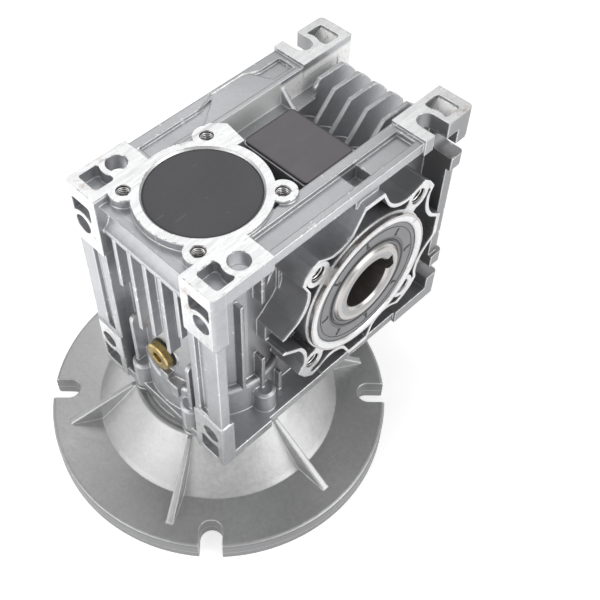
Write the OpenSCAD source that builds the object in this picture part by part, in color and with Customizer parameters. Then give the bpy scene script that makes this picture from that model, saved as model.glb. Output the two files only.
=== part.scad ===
// Worm gear reducer, 50 mm centre distance, hollow output shaft, 56C motor flange.
// Origin: centre of the motor flange's mounting face. +Z: worm axis, away from the motor.
// The output axis runs along Y, at +X from the worm.

/* [Gear set] */
// Distance from the worm axis to the output axis
centre_dist = 50; // [49.9:0.1:50.1]
// Height of the output axis above the motor face
axis_z = 94; // [94:0.5:94.5]
// Teeth on the worm wheel, meshing with a single-start worm
wheel_teeth = 60; // [60:1:60]
// Axial module of the gear set
gear_module = 1.25; // [1.25:0.01:1.25]

/* [Output shaft] */
// Bore of the hollow output shaft
out_bore_d = 25; // [20:1:26]
// Keyway width in the output bore
out_key_w = 8; // [6:1:8]
// Half of the hollow shaft's length
out_half_len = 46; // [46:0.5:47]
// Direction of the output keyway, in degrees above +X
out_key_dir = 14; // [0:1:90]
// Pitch circle of the tapped holes in both output faces
face_pcd = 85; // [84.5:0.5:85.5]
// Radius of the tapped holes in the visible output face
face_hole_r = 4; // [3.4:0.1:4.2]
// Core radius of the tapped holes in the cover's output face
rear_hole_r = 3.4; // [3.3:0.1:4.2]

/* [Motor flange] */
// Outside diameter of the flange
flange_d = 165; // [160:1:166]
// Thickness of the flange at its rim
flange_t = 11.5; // [10:0.5:13]
// Motor pilot recess
pilot_d = 114.3; // [114.3:0.05:114.4]
// Pitch circle of the motor bolt slots
slot_pcd = 149.2; // [148:0.2:150]
// Width of the open motor bolt slots
slot_w = 10.7; // [10:0.1:11]
// Bore of the worm's input end
in_bore_d = 15.88; // [14:0.01:16]

/* [Case] */
// Half width over the foot pads
pad_y = 42.5; // [42:0.5:43]
// Radius of the foot holes
foot_hole_r = 4.6; // [4.2:0.1:4.8]
// Height of the machined top face
top_z = 154; // [153.5:0.5:154.5]
// Thickness of the cooling fins
fin_t = 2.0; // [1.6:0.1:2.4]
// Spacing of the cooling fins
fin_pitch = 9.2; // [9:0.1:9.4]

/* [Hidden] */
$fn = 96;
e = 0.01;
screw_r = 33.3;      // circle of the flange screws
cover_screw_r = 43.9; // circle of the cover screws
wheel_pr = gear_module * wheel_teeth / 2;
worm_pr = centre_dist - wheel_pr;
pitch = PI * gear_module;
lead_slope = pitch / (2 * PI * worm_pr);

// ---------- helpers ----------
module bx(x0, x1, y0, y1, z0, z1) translate([x0, y0, z0]) cube([x1 - x0, y1 - y0, z1 - z0]);
module symy() { children(); mirror([0, 1, 0]) children(); }
// local z runs along -Y (out of the visible output face), local y runs up
module ym() translate([centre_dist, 0, axis_z]) rotate([90, 0, 0]) children();
// local z runs along +Y, local y runs down
module yp() translate([centre_dist, 0, axis_z]) rotate([-90, 0, 0]) children();
// rounded rectangle
module rr(x0, x1, y0, y1, r) {
  translate([x0 + r, y0]) square([x1 - x0 - 2 * r, y1 - y0]);
  translate([x0, y0 + r]) square([x1 - x0, y1 - y0 - 2 * r]);
  for (p = [[x0 + r, y0 + r], [x1 - r, y0 + r], [x0 + r, y1 - r], [x1 - r, y1 - r]])
    translate(p) circle(r = r, $fn = 24);
}
module ring(ro, ri, z0, z1) translate([0, 0, z0]) difference() {
  cylinder(r = ro, h = z1 - z0);
  translate([0, 0, -1]) cylinder(r = ri, h = z1 - z0 + 2);
}
// points of the arc from a through b to c, without c
function arc3(a, b, c, n) =
  let (d = 2 * (a[0] * (b[1] - c[1]) + b[0] * (c[1] - a[1]) + c[0] * (a[1] - b[1])),
       a2 = a * a, b2 = b * b, c2 = c * c,
       ux = (a2 * (b[1] - c[1]) + b2 * (c[1] - a[1]) + c2 * (a[1] - b[1])) / d,
       uy = (a2 * (c[0] - b[0]) + b2 * (a[0] - c[0]) + c2 * (b[0] - a[0])) / d,
       r = norm(a - [ux, uy]),
       ta = atan2(a[1] - uy, a[0] - ux), tc0 = atan2(c[1] - uy, c[0] - ux),
       cw = d < 0,
       tc = cw ? (tc0 > ta ? tc0 - 360 : tc0) : (tc0 < ta ? tc0 + 360 : tc0))
  [for (i = [0:n - 1]) let (t = ta + (tc - ta) * i / n) [ux + r * cos(t), uy + r * sin(t)]];

// ---------- output face outline ----------
// scalloped contour round the output axis: flat-topped lobes at the tapped holes, tabs between
face_pts = concat(
  [[-4.5, 49.3], [6.5, 49.1]],
  arc3([8.6, 44.8], [16.0, 36.2], [28.0, 35.0], 8),
  [[30.6, 36.2], [33.2, 37.6], [37.2, 34.2], [40.4, 29.4]],
  arc3([38.6, 26.0], [39.6, 16.0], [46.0, 7.2], 8),
  [[49.6, 4.8], [49.4, -7.4]],
  arc3([45.0, -11.6], [39.6, -19.6], [38.8, -28.6], 8),
  [[39.6, -31.0], [36.6, -36.0], [32.0, -39.6], [28.2, -41.2]],
  arc3([24.0, -39.0], [15.6, -38.6], [9.6, -44.0], 8),
  [[7.6, -50.4], [-4.6, -50.4]],
  arc3([-8.6, -42.6], [-15.0, -38.2], [-23.4, -39.4], 8),
  [[-26.6, -41.4], [-29.8, -42.0], [-34.8, -38.2], [-38.6, -32.4]],
  arc3([-35.8, -28.4], [-36.2, -19.6], [-41.0, -11.6], 8),
  [[-49.0, -7.2], [-49.2, 3.8]],
  arc3([-41.6, 7.8], [-36.2, 15.6], [-36.0, 25.6], 8),
  [[-38.6, 29.4], [-37.2, 33.6], [-34.0, 37.0], [-29.8, 38.4]],
  arc3([-26.0, 36.4], [-17.0, 35.2], [-9.4, 40.8], 8));
module face2d() polygon(face_pts);
// what stays solid inside the contour: ring, tapped bosses with their webs
module face_core(extra) {
  circle(r = 35.7);
  for (a = [45:90:315]) rotate(a) {
    translate([face_pcd / 2, 0]) circle(r = 6.3, $fn = 48);
    translate([34, -4.2]) square([8, 8.4]);
    translate([face_pcd / 2, -4.8]) square([9, 9.6]);
  }
  if (extra) for (a = [0:90:270]) rotate(a) {
    translate([cover_screw_r, 0]) circle(r = 6, $fn = 48);
    translate([34, -4]) square([8, 8]);
  }
}
module face_cavity(extra) difference() { scale(0.955) face2d(); face_core(extra); }

// ---------- housing ----------
// top or bottom pocket beside a foot hole, for the +y side
module corner_pocket2d(x0, x1, y0, y1, hx, hy, hr) difference() {
  rr(x0, x1, y0, y1, 1.6);
  translate([hx, hy]) circle(r = hr, $fn = 64);
}
module near_corner() {
  bx(-34, -3.5, 24.8, pad_y, top_z - 7.7, top_z);        // top pad
  bx(-34, -27.2, 24.5, pad_y, 122.5, top_z - 1);         // upper face pad
  bx(-33.2, -28.4, 26, 41.8, 60, 125);                   // post
  bx(-33, -20, 25, 28.5, 39, 147);                       // web behind the post
  bx(-34, -26.8, 25, pad_y, 34, 64.5);                   // lower face pad
  bx(-34, -4, 24.8, pad_y, 34, 39.5);                    // foot pad
}
// rounds an upright outer corner at [x, y], sx pointing outward in X
module corner_round(x, y, sx, r) translate([x, y, 33]) linear_extrude(top_z - 32) scale([sx, 1]) difference() {
  translate([-r, -r]) square([r + 1, r + 1]);
  translate([-r, -r]) circle(r = r, $fn = 32);
}
module near_corner_cuts() {
  corner_round(-34, pad_y, -1, 1.8);
  translate([-14, 35, top_z - 9]) cylinder(r = foot_hole_r, h = 12, $fn = 48);
  translate([0, 0, top_z - 6]) linear_extrude(8) corner_pocket2d(-29.4, -20, 28.5, 40, -14, 35, 7);
  for (z = [134, 54]) translate([-36, 35, z]) rotate([0, 90, 0]) cylinder(r = foot_hole_r, h = 12, $fn = 48);
  translate([-35, 0, 0]) rotate([90, 0, 90]) linear_extrude(5.6) corner_pocket2d(28.5, 40, 138.6, 147.1, 35, 134, 6.9);
  translate([-35, 0, 0]) rotate([90, 0, 90]) linear_extrude(5.6) corner_pocket2d(28.5, 39.5, 36.8, 48, 35, 54, 6.9);
  bx(-34.5, -31, 28.8, 33.6, 66, 121);                   // groove in the post
}
module far_corner() {
  bx(80.2, 110, 24.5, pad_y, top_z - 7.7, top_z);
  bx(102, 110, 24.5, pad_y, 122.5, top_z - 1);
  bx(102, 107.6, 25, 40.5, 60, 130);
  bx(102, 110, 24.5, pad_y, 34, 65.5);
  bx(80.2, 110, 24.5, pad_y, 34, 41.7);
}
module u_slot2d(w, len) { circle(r = w / 2, $fn = 48); translate([0, -w / 2]) square([len, w]); }
module far_corner_cuts() {
  corner_round(110, pad_y, 1, 2.4);
  translate([90, 35, top_z - 9]) rotate([0, 0, 90]) linear_extrude(10) u_slot2d(9.2, 12);
  intersection() {
    translate([0, 0, top_z - 6.2]) linear_extrude(8) corner_pocket2d(96.5, 105.5, 27.4, 39, 90, 35, 7.5);
    translate([0, 45, 0]) rotate([90, 0, 0]) linear_extrude(20)
      polygon([[95, top_z - 6.2], [100.6, top_z - 6.2], [106, top_z - 0.9], [106, top_z + 1], [95, top_z + 1]]);
  }
  for (z = [134, 54]) translate([101, 35, z]) rotate([90, 0, 90]) linear_extrude(10) u_slot2d(9.2, 12);
}
module rail_north() {
  bx(-4, 80.5, 24.8, 41.5, 147.5, 151.8);
  translate([0, 0, 150]) linear_extrude(2.4) polygon([[-4, 36.8], [31, 36.8], [41, 40.2], [59, 40.2], [66.5, 36.8], [77.7, 36.8],
    [77.7, 27], [-4, 27], [-4, 24.8], [80.5, 24.8], [80.5, 41.5], [-4, 41.5]]);
}
module rail_north_cuts() translate([0, 0, 150.6]) linear_extrude(3) {
  polygon([[-1, 29], [27, 29], [40, 38.6], [31, 36.8], [-1, 36.8]]);
  polygon([[62, 38.2], [66.5, 29], [77.7, 29], [77.7, 36.8], [66.5, 36.8]]);
}
module rail_south() {
  bx(-4, 80.5, -41.5, -24.8, 147.5, 152.5);
  bx(43.4, 56.6, -40, -27, 141, 148);
}
module rail_south_cuts() {
  bx(-2.5, 78.3, -38.5, -29.2, 150, 153.5);
  bx(45.4, 54.6, -37.6, -29.4, 143.6, 151);
}
module far_step() {
  // low shoulder beside the north wall, with the short outer fin on it
  bx(66, 101, fin_pitch * 2 - fin_t / 2, 25.5, 130, 139.6);
  translate([0, fin_pitch * 2 + fin_t / 2, 0]) rotate([90, 0, 0]) linear_extrude(fin_t)
    polygon([[60, 60], [60, 128], [66, 137], [80.7, 139], [80.7, 145], [83.6, 148.5], [98.4, 148.5], [103, 144.6], [106, 141],
             [107, 138], [107, 50], [106, 47], [103, 43.4], [98.4, 39.5], [83, 39.5], [72, 51.4]]);
}
module far_fin(y) translate([0, y + fin_t / 2, 0]) rotate([90, 0, 0]) linear_extrude(fin_t)
  polygon([[60, 60], [60, 128], [72, 136.6], [83, 148.5], [98.4, 148.5], [103, 144.6], [106, 141], [107, 138],
           [107, 50], [106, 47], [103, 43.4], [98.4, 39.5], [83, 39.5], [72, 51.4]]);
module oil_boss() translate([-28, 0, 74]) rotate([0, 90, 0]) cylinder(r = 8, h = 10.4, $fn = 64);

module housing_body() {
  // gear case and worm column
  ym() translate([0, 0, -27]) cylinder(r = 46.5, h = 54, $fn = 128);
  translate([0, 0, 39]) cylinder(r = 28, h = top_z - 39, $fn = 128);
  // bearing tube at the input end
  rotate_extrude($fn = 128) polygon([[0, 38], [31.4, 38], [31.4, 57], [30.9, 58.2], [29.9, 58.7], [0, 58.7]]);
  for (a = [30:60:330]) rotate(a) translate([screw_r, 0, 35.6]) {
    cylinder(r = 5.2, h = 15.7, $fn = 48);
    translate([0, 0, 15.7]) cylinder(r1 = 5.2, r2 = 4, h = 1.2, $fn = 48);
  }
  // side walls
  symy() bx(13, 108, 24.8, 28.5, 39, 148);
  symy() bx(-24, -20.5, 0, 27, 58, 147);
  // bottom plate and rails
  bx(-32.9, 36, -41, 41, 34, 39.5);
  symy() bx(30, 80.5, 24.8, 41.2, 35.5, 40.5);
  // top plate and front ledge
  difference() {
    bx(-31.6, 12, -25, 25, 135.2, 150);
    translate([-35.2, -30, 143.4]) rotate([-90, 0, 0]) cylinder(r = 7.2, h = 60, $fn = 64);
  }
  // ring lobes and machined filler
  for (x = [-21.57, 21.57], y = [-21.57, 21.57]) translate([x, y, 128]) cylinder(r = 6, h = top_z - 128, $fn = 48);
  translate([0, 0, 138]) linear_extrude(top_z - 138) polygon([[20, 27], [27, 26.5], [32.3, 21], [30.5, 9], [24, 9]]);
  symy() translate([0, 0, 140]) linear_extrude(top_z - 140) polygon([[-25.6, 26], [-8, 26], [-8, 22], [-17, 17], [-24.4, 22.6]]);
  // nameplate platform
  translate([0, 0, 128]) linear_extrude(23) rr(31, 59.4, -26, 11.2, 2.5);
  // floor of the trough between the platform and the north wall
  bx(18, 67, 9, 25.5, 126, 141);
  // trough gusset
  translate([66.8, 0, 0]) rotate([90, 0, 90]) linear_extrude(2) polygon([[13, 132], [16.6, 140.4], [25, 149], [26, 149], [26, 132]]);
  // corners
  symy() near_corner();
  symy() far_corner();
  rail_north();
  rail_south();
  // near fins
  for (f = [[2, 107.5], [1, 85.8], [0, 90], [-1, 87], [-2, 107]])
    bx(-32, -18, f[0] * fin_pitch - fin_t / 2, f[0] * fin_pitch + fin_t / 2, f[1], 136);
  symy() translate([0, fin_pitch * 2 + fin_t / 2, 0]) rotate([90, 0, 0]) linear_extrude(fin_t)
    polygon([[-31, 49], [-31, 81.6], [-30.2, 83.2], [-28.6, 84], [-20, 84], [-20, 49]]);
  bx(-31, -20, -25.8, -24, 60, 136);
  // stepped blocks below the oil plug
  bx(-31.4, -20, -4.6, 0.7, 55, 64);
  bx(-31.6, -20, -10.8, -4, 52.5, 60);
  oil_boss();
  // far fins
  for (i = [-2:1]) far_fin(i * fin_pitch);
  far_step();
  // vertical fins beside the output boss
  bx(-10.1, -8.3, -30.5, -24, 58, 117);
  bx(-0.9, 0.9, -33, -24, 114, 148);
  bx(-0.9, 0.9, -33, -24, 50, 75);
  bx(9.6, 11.4, -33, -24, 38, 53);
  bx(-10.1, -8.3, 24, 30.5, 58, 117);
  bx(-0.9, 0.9, 24, 33, 50, 148);
  // output bosses
  ym() translate([0, 0, 25.3]) linear_extrude(18.2) face2d();
  ym() translate([0, 0, 30]) cylinder(r = 35, h = 16, $fn = 128);
  ym() translate([0, 0, -29]) linear_extrude(3.6) face2d();
}
module housing() color("silver") difference() {
  housing_body();
  // output side: wheel cavity, bearing seat, seal seat
  ym() translate([0, 0, -30]) cylinder(r = 41, h = 45, $fn = 128);
  ym() translate([0, 0, 10]) cylinder(r = 34, h = 22, $fn = 128);
  ym() translate([0, 0, 30]) cylinder(r = 30, h = 8, $fn = 128);
  ym() translate([0, 0, 36.8]) cylinder(r = 31, h = 12, $fn = 128);
  ym() translate([0, 0, 45.3]) cylinder(r1 = 31, r2 = 31.9, h = 0.9, $fn = 128);
  // deep cavities inside the contour, and the gap in it towards the worm
  ym() translate([0, 0, 30.5]) linear_extrude(14) face_cavity(false);
  ym() translate([-53, -6.4, 33]) cube([12, 9.6, 12]);
  // worm side
  translate([0, 0, 33]) cylinder(r = 23.5, h = 24, $fn = 128);
  translate([0, 0, 50]) cylinder(r = 15.5, h = 90, $fn = 96);
  translate([0, 0, 130]) cylinder(r = 23.5, h = 26, $fn = 128);
  translate([0, 0, 144.6]) cylinder(r = 24.7, h = 1.7, $fn = 128);
  translate([0, 0, top_z - 0.8]) cylinder(r1 = 23.5, r2 = 24.5, h = 1, $fn = 128);
  // tapped holes
  for (a = [45:90:315]) ym() rotate(a) translate([face_pcd / 2, 0, 28.5]) cylinder(r = face_hole_r, h = 16, $fn = 48);
  for (a = [0:90:270]) ym() rotate(a) translate([cover_screw_r, 0, -30]) cylinder(r = 2.5, h = 9, $fn = 32);
  for (a = [30:60:330]) rotate(a) translate([screw_r, 0, 33]) cylinder(r = 3, h = 14, $fn = 32);
  for (x = [-21.57, 21.57], y = [-21.57, 21.57]) translate([x, y, top_z - 12]) cylinder(r = 3, h = 14, $fn = 48);
  translate([-33, 0, 74]) rotate([0, 90, 0]) cylinder(r = 8.4, h = 5.4, $fn = 64);
  translate([-30, 0, 74]) rotate([0, 90, 0]) cylinder(r = 5, h = 18, $fn = 48);
  symy() near_corner_cuts();
  symy() far_corner_cuts();
  rail_south_cuts();
  rail_north_cuts();
}

// ---------- side cover ----------
module side_cover() color("silver") yp() difference() {
  union() {
    translate([0, 0, 29]) linear_extrude(14.5) mirror([0, 1, 0]) face2d();
    translate([0, 0, 29]) cylinder(r = 35, h = 17, $fn = 128);
    translate([0, 0, 17.5]) cylinder(r = 40.96, h = 12, $fn = 128);
  }
  translate([0, 0, 17]) cylinder(r = 34, h = 15, $fn = 128);
  translate([0, 0, 30]) cylinder(r = 30, h = 8, $fn = 128);
  translate([0, 0, 36.8]) cylinder(r = 31, h = 12, $fn = 128);
  translate([0, 0, 45.3]) cylinder(r1 = 31, r2 = 31.9, h = 0.9, $fn = 128);
  translate([0, 0, 33]) linear_extrude(12) mirror([0, 1, 0]) face_cavity(true);
  ring(42, 38.7, 22.6, 25.4);
  for (a = [45:90:315]) rotate(a) translate([face_pcd / 2, 0, 30.5]) cylinder(r = rear_hole_r, h = 14, $fn = 48);
  for (a = [0:90:270]) rotate(a) translate([cover_screw_r, 0, 0]) {
    translate([0, 0, 28]) cylinder(r = 2.75, h = 12, $fn = 32);
    translate([0, 0, 38]) cylinder(r = 4.75, h = 6, $fn = 48);
  }
}
module cover_oring() color("dimgray") yp() translate([0, 0, 24])
  rotate_extrude($fn = 128) translate([39.85, 0]) circle(r = 1.1, $fn = 32);
module socket_screw(r, len, hr, hh, sr) difference() {
  union() {
    translate([0, 0, -len]) cylinder(r = r, h = len + e, $fn = 32);
    cylinder(r = hr, h = hh, $fn = 48);
  }
  translate([0, 0, hh * 0.45]) cylinder(r = sr, h = hh, $fn = 6);
}
module cover_screws() color("gray") yp() for (a = [0:90:270]) rotate(a)
  translate([cover_screw_r, 0, 38]) socket_screw(2.45, 15, 4.25, 5, 2.3);

// ---------- motor flange ----------
// cast rib with draft: wide at its foot, narrow along its crest
module rib_slab(t, pts) rotate([90, 0, 0]) translate([0, 0, -t / 2]) linear_extrude(t) polygon(pts);
module flange_rib() hull() {
  rib_slab(3.6, [[39.6, 28], [54, 9.5], [74.3, 10.3], [74.3, flange_t - 0.1]]);
  rib_slab(1.9, [[73.4, flange_t + 0.9], [41, 33.4], [39.2, 33.4], [40, 29]]);
}
module input_flange() color("darkgray") difference() {
  union() {
    rotate_extrude($fn = 180) polygon([
      [pilot_d / 2, 0], [flange_d / 2 - 0.8, 0], [flange_d / 2, 0.8], [flange_d / 2, flange_t - 1.2],
      [flange_d / 2 - 0.4, flange_t - 0.4], [flange_d / 2 - 1.4, flange_t], [58.6, flange_t], [56.6, 13.4],
      [39.4, 33.2], [38.6, 33.6], [37.7, 33.5], [37, 32.2], [35.8, 31.2], [34.8, 31.4], [34.1, 32.6], [33.9, 34],
      [23.48, 34], [23.48, 35.3], [20, 35.3], [20, 27], [39.2, 27], [52.5, 9], [52.5, 5], [pilot_d / 2, 5]]);
    for (a = [30:60:330]) rotate(a) {
      flange_rib();
      translate([screw_r, 0, 28]) cylinder(r = 5.4, h = 6, $fn = 48);
    }
  }
  for (a = [45:90:315]) rotate(a) translate([slot_pcd / 2, 0, -1]) linear_extrude(flange_t + 2) u_slot2d(slot_w, 14);
  for (a = [30:60:330]) rotate(a) translate([screw_r, 0, 26]) cylinder(r = 3.3, h = 10, $fn = 32);
}
module flange_screws() color("gray") for (a = [30:60:330]) rotate(a)
  translate([screw_r, 0, 27]) mirror([0, 0, 1]) socket_screw(2.95, 16, 5, 6, 2.9);

// ---------- worm ----------
// Thread and core between z0 and z1 as one closed body, n steps a turn, k steps long.
module worm_thread(z0, z1, zs, turns, n) {
  rr0 = 11; rt = worm_pr + gear_module;
  hw_r = 0.8 + (worm_pr - rr0) * tan(20);
  hw_t = 0.8 - gear_module * tan(20);
  K = turns * n;
  function rtk(k) = rr0 + (rt - rr0) * min(1, (k + 1) / 6, (K - k + 1) / 6);
  function pt(r, k, z) = [r * cos(360 * k / n), r * sin(360 * k / n), z];
  function zc(k) = zs + pitch * k / n;
  // per step: 0 lower root, 1 lower crest, 2 upper crest, 3 upper root
  pts = concat(
    [for (k = [0:K]) each [pt(rr0, k, zc(k) - hw_r), pt(rtk(k), k, zc(k) - hw_t),
                           pt(rtk(k), k, zc(k) + hw_t), pt(rr0, k, zc(k) + hw_r)]],
    [for (j = [0:n - 1]) pt(rr0, j, z0)],
    [for (j = [0:n - 1]) pt(rr0, j, z1)]);
  function A(k) = 4 * k;
  function B(k) = 4 * k + 1;
  function C(k) = 4 * k + 2;
  function D(k) = 4 * k + 3;
  function lo(j) = 4 * (K + 1) + (j % n);
  function hi(j) = 4 * (K + 1) + n + (j % n);
  faces = concat(
    // flanks and crest
    [for (k = [0:K - 1]) each [
      [A(k), B(k), B(k + 1), A(k + 1)],
      [B(k), C(k), C(k + 1), B(k + 1)],
      [C(k), D(k), D(k + 1), C(k + 1)]]],
    // root floor
    [for (k = [0:K - n - 1]) [D(k), A(k + n), A(k + n + 1), D(k + 1)]],
    // lower skirt
    [for (k = [0:n - 2]) [lo(k), A(k), A(k + 1), lo(k + 1)]],
    [[lo(n - 1), A(n - 1), A(n), D(0), A(0), lo(0)]],
    // upper skirt
    [for (k = [K - n + 1:K - 1]) [D(k), hi(k), hi(k + 1), D(k + 1)]],
    [[D(K - n + 1), D(K - n), A(K), D(K), hi(K), hi(K - n + 1)]],
    // ends
    [[A(0), D(0), C(0), B(0)], [A(K), B(K), C(K), D(K)]],
    [[for (j = [0:n - 1]) lo(j)]],
    [[for (j = [n - 1:-1:0]) hi(j)]]);
  polyhedron(points = pts, faces = faces, convexity = 10);
}
module worm_shaft() color("lightsteelblue") difference() {
  union() {
    rotate_extrude() polygon([[0, 24], [11.9, 24], [12.5, 24.6], [12.5, 57], [15, 57], [15, 60], [12, 64], [12, 72.5], [0, 72.5]]);
    worm_thread(71.5, 116.5, axis_z - 5 * pitch, 10, 24);
    rotate_extrude() polygon([[0, 115.5], [12, 115.5], [12, 124], [13.5, 126], [13.5, 130], [10, 130], [10, 144.4], [9.4, 145], [0, 145]]);
  }
  translate([0, 0, 23]) cylinder(r = in_bore_d / 2, h = 43);
  bx(0, 10.07, -2.4, 2.4, 23, 62);
}

// ---------- wheel and hollow shaft ----------
module output_hub() color("lightgray") ym() difference() {
  rotate_extrude($fn = 128) polygon([
    [out_bore_d / 2, -out_half_len + 1.2], [out_bore_d / 2 + 1.2, -out_half_len], [18.6, -out_half_len], [20, -out_half_len + 1.4],
    [20, -17], [23, -17], [23, -10], [30, -10], [30, 10], [23, 10], [23, 17], [20, 17],
    [20, out_half_len - 1.4], [18.6, out_half_len], [out_bore_d / 2 + 1.2, out_half_len], [out_bore_d / 2, out_half_len - 1.2]]);
  rotate(out_key_dir) translate([0, -out_key_w / 2, -60]) cube([15.8, out_key_w, 120]);
}
// one tooth of the wheel, seen from the worm, tilted by the lead angle
module wheel_tooth() translate([-wheel_pr, 0, 0]) rotate([atan(lead_slope), 0, 0])
  translate([0, 0, -9.95]) linear_extrude(19.9)
    polygon([[2.1, -1.58], [1.6, -1.42], [0, -0.85], [-1.1, -0.45], [-gear_module, -0.34],
             [-gear_module, 0.34], [-1.1, 0.45], [0, 0.85], [1.6, 1.42], [2.1, 1.58]]);
module worm_wheel_rim() color("goldenrod") ym() difference() {
  union() {
    translate([0, 0, -10]) cylinder(r = 35.85, h = 20, $fn = 120);
    for (i = [0:wheel_teeth - 1]) rotate((i + 0.5) * 360 / wheel_teeth) wheel_tooth();
  }
  translate([0, 0, -11]) cylinder(r = 30, h = 22, $fn = 128);
}

// ---------- bearings, upright, centred ----------
module brg_outer(ro, rh, rp, rb, w) rotate_extrude($fn = 128) difference() {
  translate([rh, -w / 2]) square([ro - rh, w]);
  translate([rp, 0]) circle(r = rb + 0.3, $fn = 48);
}
module brg_inner(ri, rs, rp, rb, w) rotate_extrude($fn = 128) difference() {
  translate([ri, -w / 2]) square([rs - ri, w]);
  translate([rp, 0]) circle(r = rb + 0.3, $fn = 48);
}
module brg_balls(rp, rb, n) {
  for (i = [0:n - 1]) rotate(i * 360 / n) translate([rp, 0, 0]) sphere(r = rb, $fn = 32);
  difference() {
    ring(rp + 0.9, rp - 0.9, -rb * 0.75, rb * 0.75);
    for (i = [0:n - 1]) rotate(i * 360 / n) translate([rp - 4, 0, 0]) rotate([0, 90, 0]) cylinder(r = rb + 0.08, h = 8, $fn = 48);
  }
}
module worm_bearing_lower_outer() color("silver") translate([0, 0, 50.5]) brg_outer(23.5, 20, 18, 3.2, 12);
module worm_bearing_lower_inner() color("silver") translate([0, 0, 50.5]) brg_inner(12.5, 16, 18, 3.2, 12);
module worm_bearing_lower_balls() color("gainsboro") translate([0, 0, 50.5]) brg_balls(18, 3.2, 10);
module worm_bearing_upper_outer() color("silver") translate([0, 0, 137]) brg_outer(23.5, 19.6, 16.75, 3.9, 14);
module worm_bearing_upper_inner() color("silver") translate([0, 0, 137]) brg_inner(10, 13.9, 16.75, 3.9, 14);
module worm_bearing_upper_balls() color("gainsboro") translate([0, 0, 137]) brg_balls(16.75, 3.9, 8);
module out_bearing_front_outer() color("silver") ym() translate([0, 0, 24.5]) brg_outer(34, 29.4, 27, 3.9, 15);
module out_bearing_front_inner() color("silver") ym() translate([0, 0, 24.5]) brg_inner(20, 24.6, 27, 3.9, 15);
module out_bearing_front_balls() color("gainsboro") ym() translate([0, 0, 24.5]) brg_balls(27, 3.9, 12);
module out_bearing_rear_outer() color("silver") ym() translate([0, 0, -24.5]) brg_outer(34, 29.4, 27, 3.9, 15);
module out_bearing_rear_inner() color("silver") ym() translate([0, 0, -24.5]) brg_inner(20, 24.6, 27, 3.9, 15);
module out_bearing_rear_balls() color("gainsboro") ym() translate([0, 0, -24.5]) brg_balls(27, 3.9, 12);

// ---------- seals ----------
// lip seal, back at z = 0, face at z = h
module lip_seal(ro, ri, h) rotate_extrude($fn = 128) polygon([
  [ro, 0.5], [ro, h - 0.5], [ro - 0.5, h], [ri + 3.6, h], [ri + 3.0, h - 0.6], [ri + 1.4, h - 0.6], [ri + 1.1, h],
  [ri + 0.2, h], [ri, h - 0.5], [ri + 0.7, h - 2.4], [ri, 2.6], [ri + 1.8, 0.6], [ri + 3.2, 0.6], [ri + 3.4, h - 3],
  [ro - 2, h - 3], [ro - 2, 0]]);
module output_seal_front() color("dimgray") ym() translate([0, 0, 37]) lip_seal(31, 20.06, 8);
module output_seal_rear() color("dimgray") mirror([0, 1, 0]) ym() translate([0, 0, 37]) lip_seal(31, 20.06, 8);
module worm_seal() color("dimgray") translate([0, 0, 42.5]) mirror([0, 0, 1]) lip_seal(23.5, 12.56, 7);

// ---------- small pieces ----------
module worm_circlip() color("darkslategray") translate([0, 0, 144.7]) {
  rotate([0, 0, 12]) rotate_extrude(angle = 336, $fn = 128) translate([21.4, 0]) square([3.2, 1.5]);
  for (a = [14, -14]) rotate(a) difference() {
    translate([20.6, 0, 0]) cylinder(r = 2.2, h = 1.5, $fn = 32);
    translate([20.4, 0, -1]) cylinder(r = 0.9, h = 4, $fn = 24);
  }
}
module end_cap() color("#3a3b3d") rotate_extrude($fn = 128)
  polygon([[0, 150], [21.5, 150], [21.5, 146.5], [23.2, 146.5], [23.5, 147], [23.5, 152.4], [23.3, 152.9], [22.8, 153.1], [0, 153.1]]);
module oil_plug() color("goldenrod") translate([-28.7, 0, 74]) rotate([0, -90, 0]) difference() {
  union() {
    translate([0, 0, -9]) cylinder(r = 4.95, h = 9 + e, $fn = 48);
    cylinder(r = 6.8, h = 3, $fn = 64);
    translate([0, 0, 3]) cylinder(r1 = 6.8, r2 = 6.2, h = 0.6, $fn = 64);
  }
  translate([0, 0, 1.4]) cylinder(r = 3.2, h = 4, $fn = 6);
}
module plug_washer() color("black") translate([-28.7, 0, 74]) rotate([0, 90, 0]) ring(7.4, 5.05, 0, 1.1);
module nameplate() color("#6b6d72") translate([0, 0, 151]) linear_extrude(1) rr(31.5, 58.9, -24.4, 10.7, 2.3);

housing();
side_cover();
cover_oring();
cover_screws();
input_flange();
flange_screws();
worm_shaft();
worm_bearing_lower_outer();
worm_bearing_lower_inner();
worm_bearing_lower_balls();
worm_bearing_upper_outer();
worm_bearing_upper_inner();
worm_bearing_upper_balls();
worm_seal();
worm_circlip();
end_cap();
output_hub();
worm_wheel_rim();
out_bearing_front_outer();
out_bearing_front_inner();
out_bearing_front_balls();
out_bearing_rear_outer();
out_bearing_rear_inner();
out_bearing_rear_balls();
output_seal_front();
output_seal_rear();
oil_plug();
plug_washer();
nameplate();
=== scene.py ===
# Looks of the worm gear reducer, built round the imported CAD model.
import math
import bpy
import bmesh
from mathutils import Matrix, Vector


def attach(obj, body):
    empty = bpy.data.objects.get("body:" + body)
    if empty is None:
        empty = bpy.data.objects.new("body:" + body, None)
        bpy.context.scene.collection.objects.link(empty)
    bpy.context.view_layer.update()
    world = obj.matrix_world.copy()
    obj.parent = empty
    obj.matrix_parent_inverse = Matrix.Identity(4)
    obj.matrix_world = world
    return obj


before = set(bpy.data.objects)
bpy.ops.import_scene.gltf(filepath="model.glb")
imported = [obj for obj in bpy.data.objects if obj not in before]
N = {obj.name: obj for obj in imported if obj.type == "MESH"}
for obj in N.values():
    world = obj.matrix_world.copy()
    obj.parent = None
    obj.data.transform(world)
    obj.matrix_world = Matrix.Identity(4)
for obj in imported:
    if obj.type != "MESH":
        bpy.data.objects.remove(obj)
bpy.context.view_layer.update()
CX, CZ = 0.050, 0.094          # output axis


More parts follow.
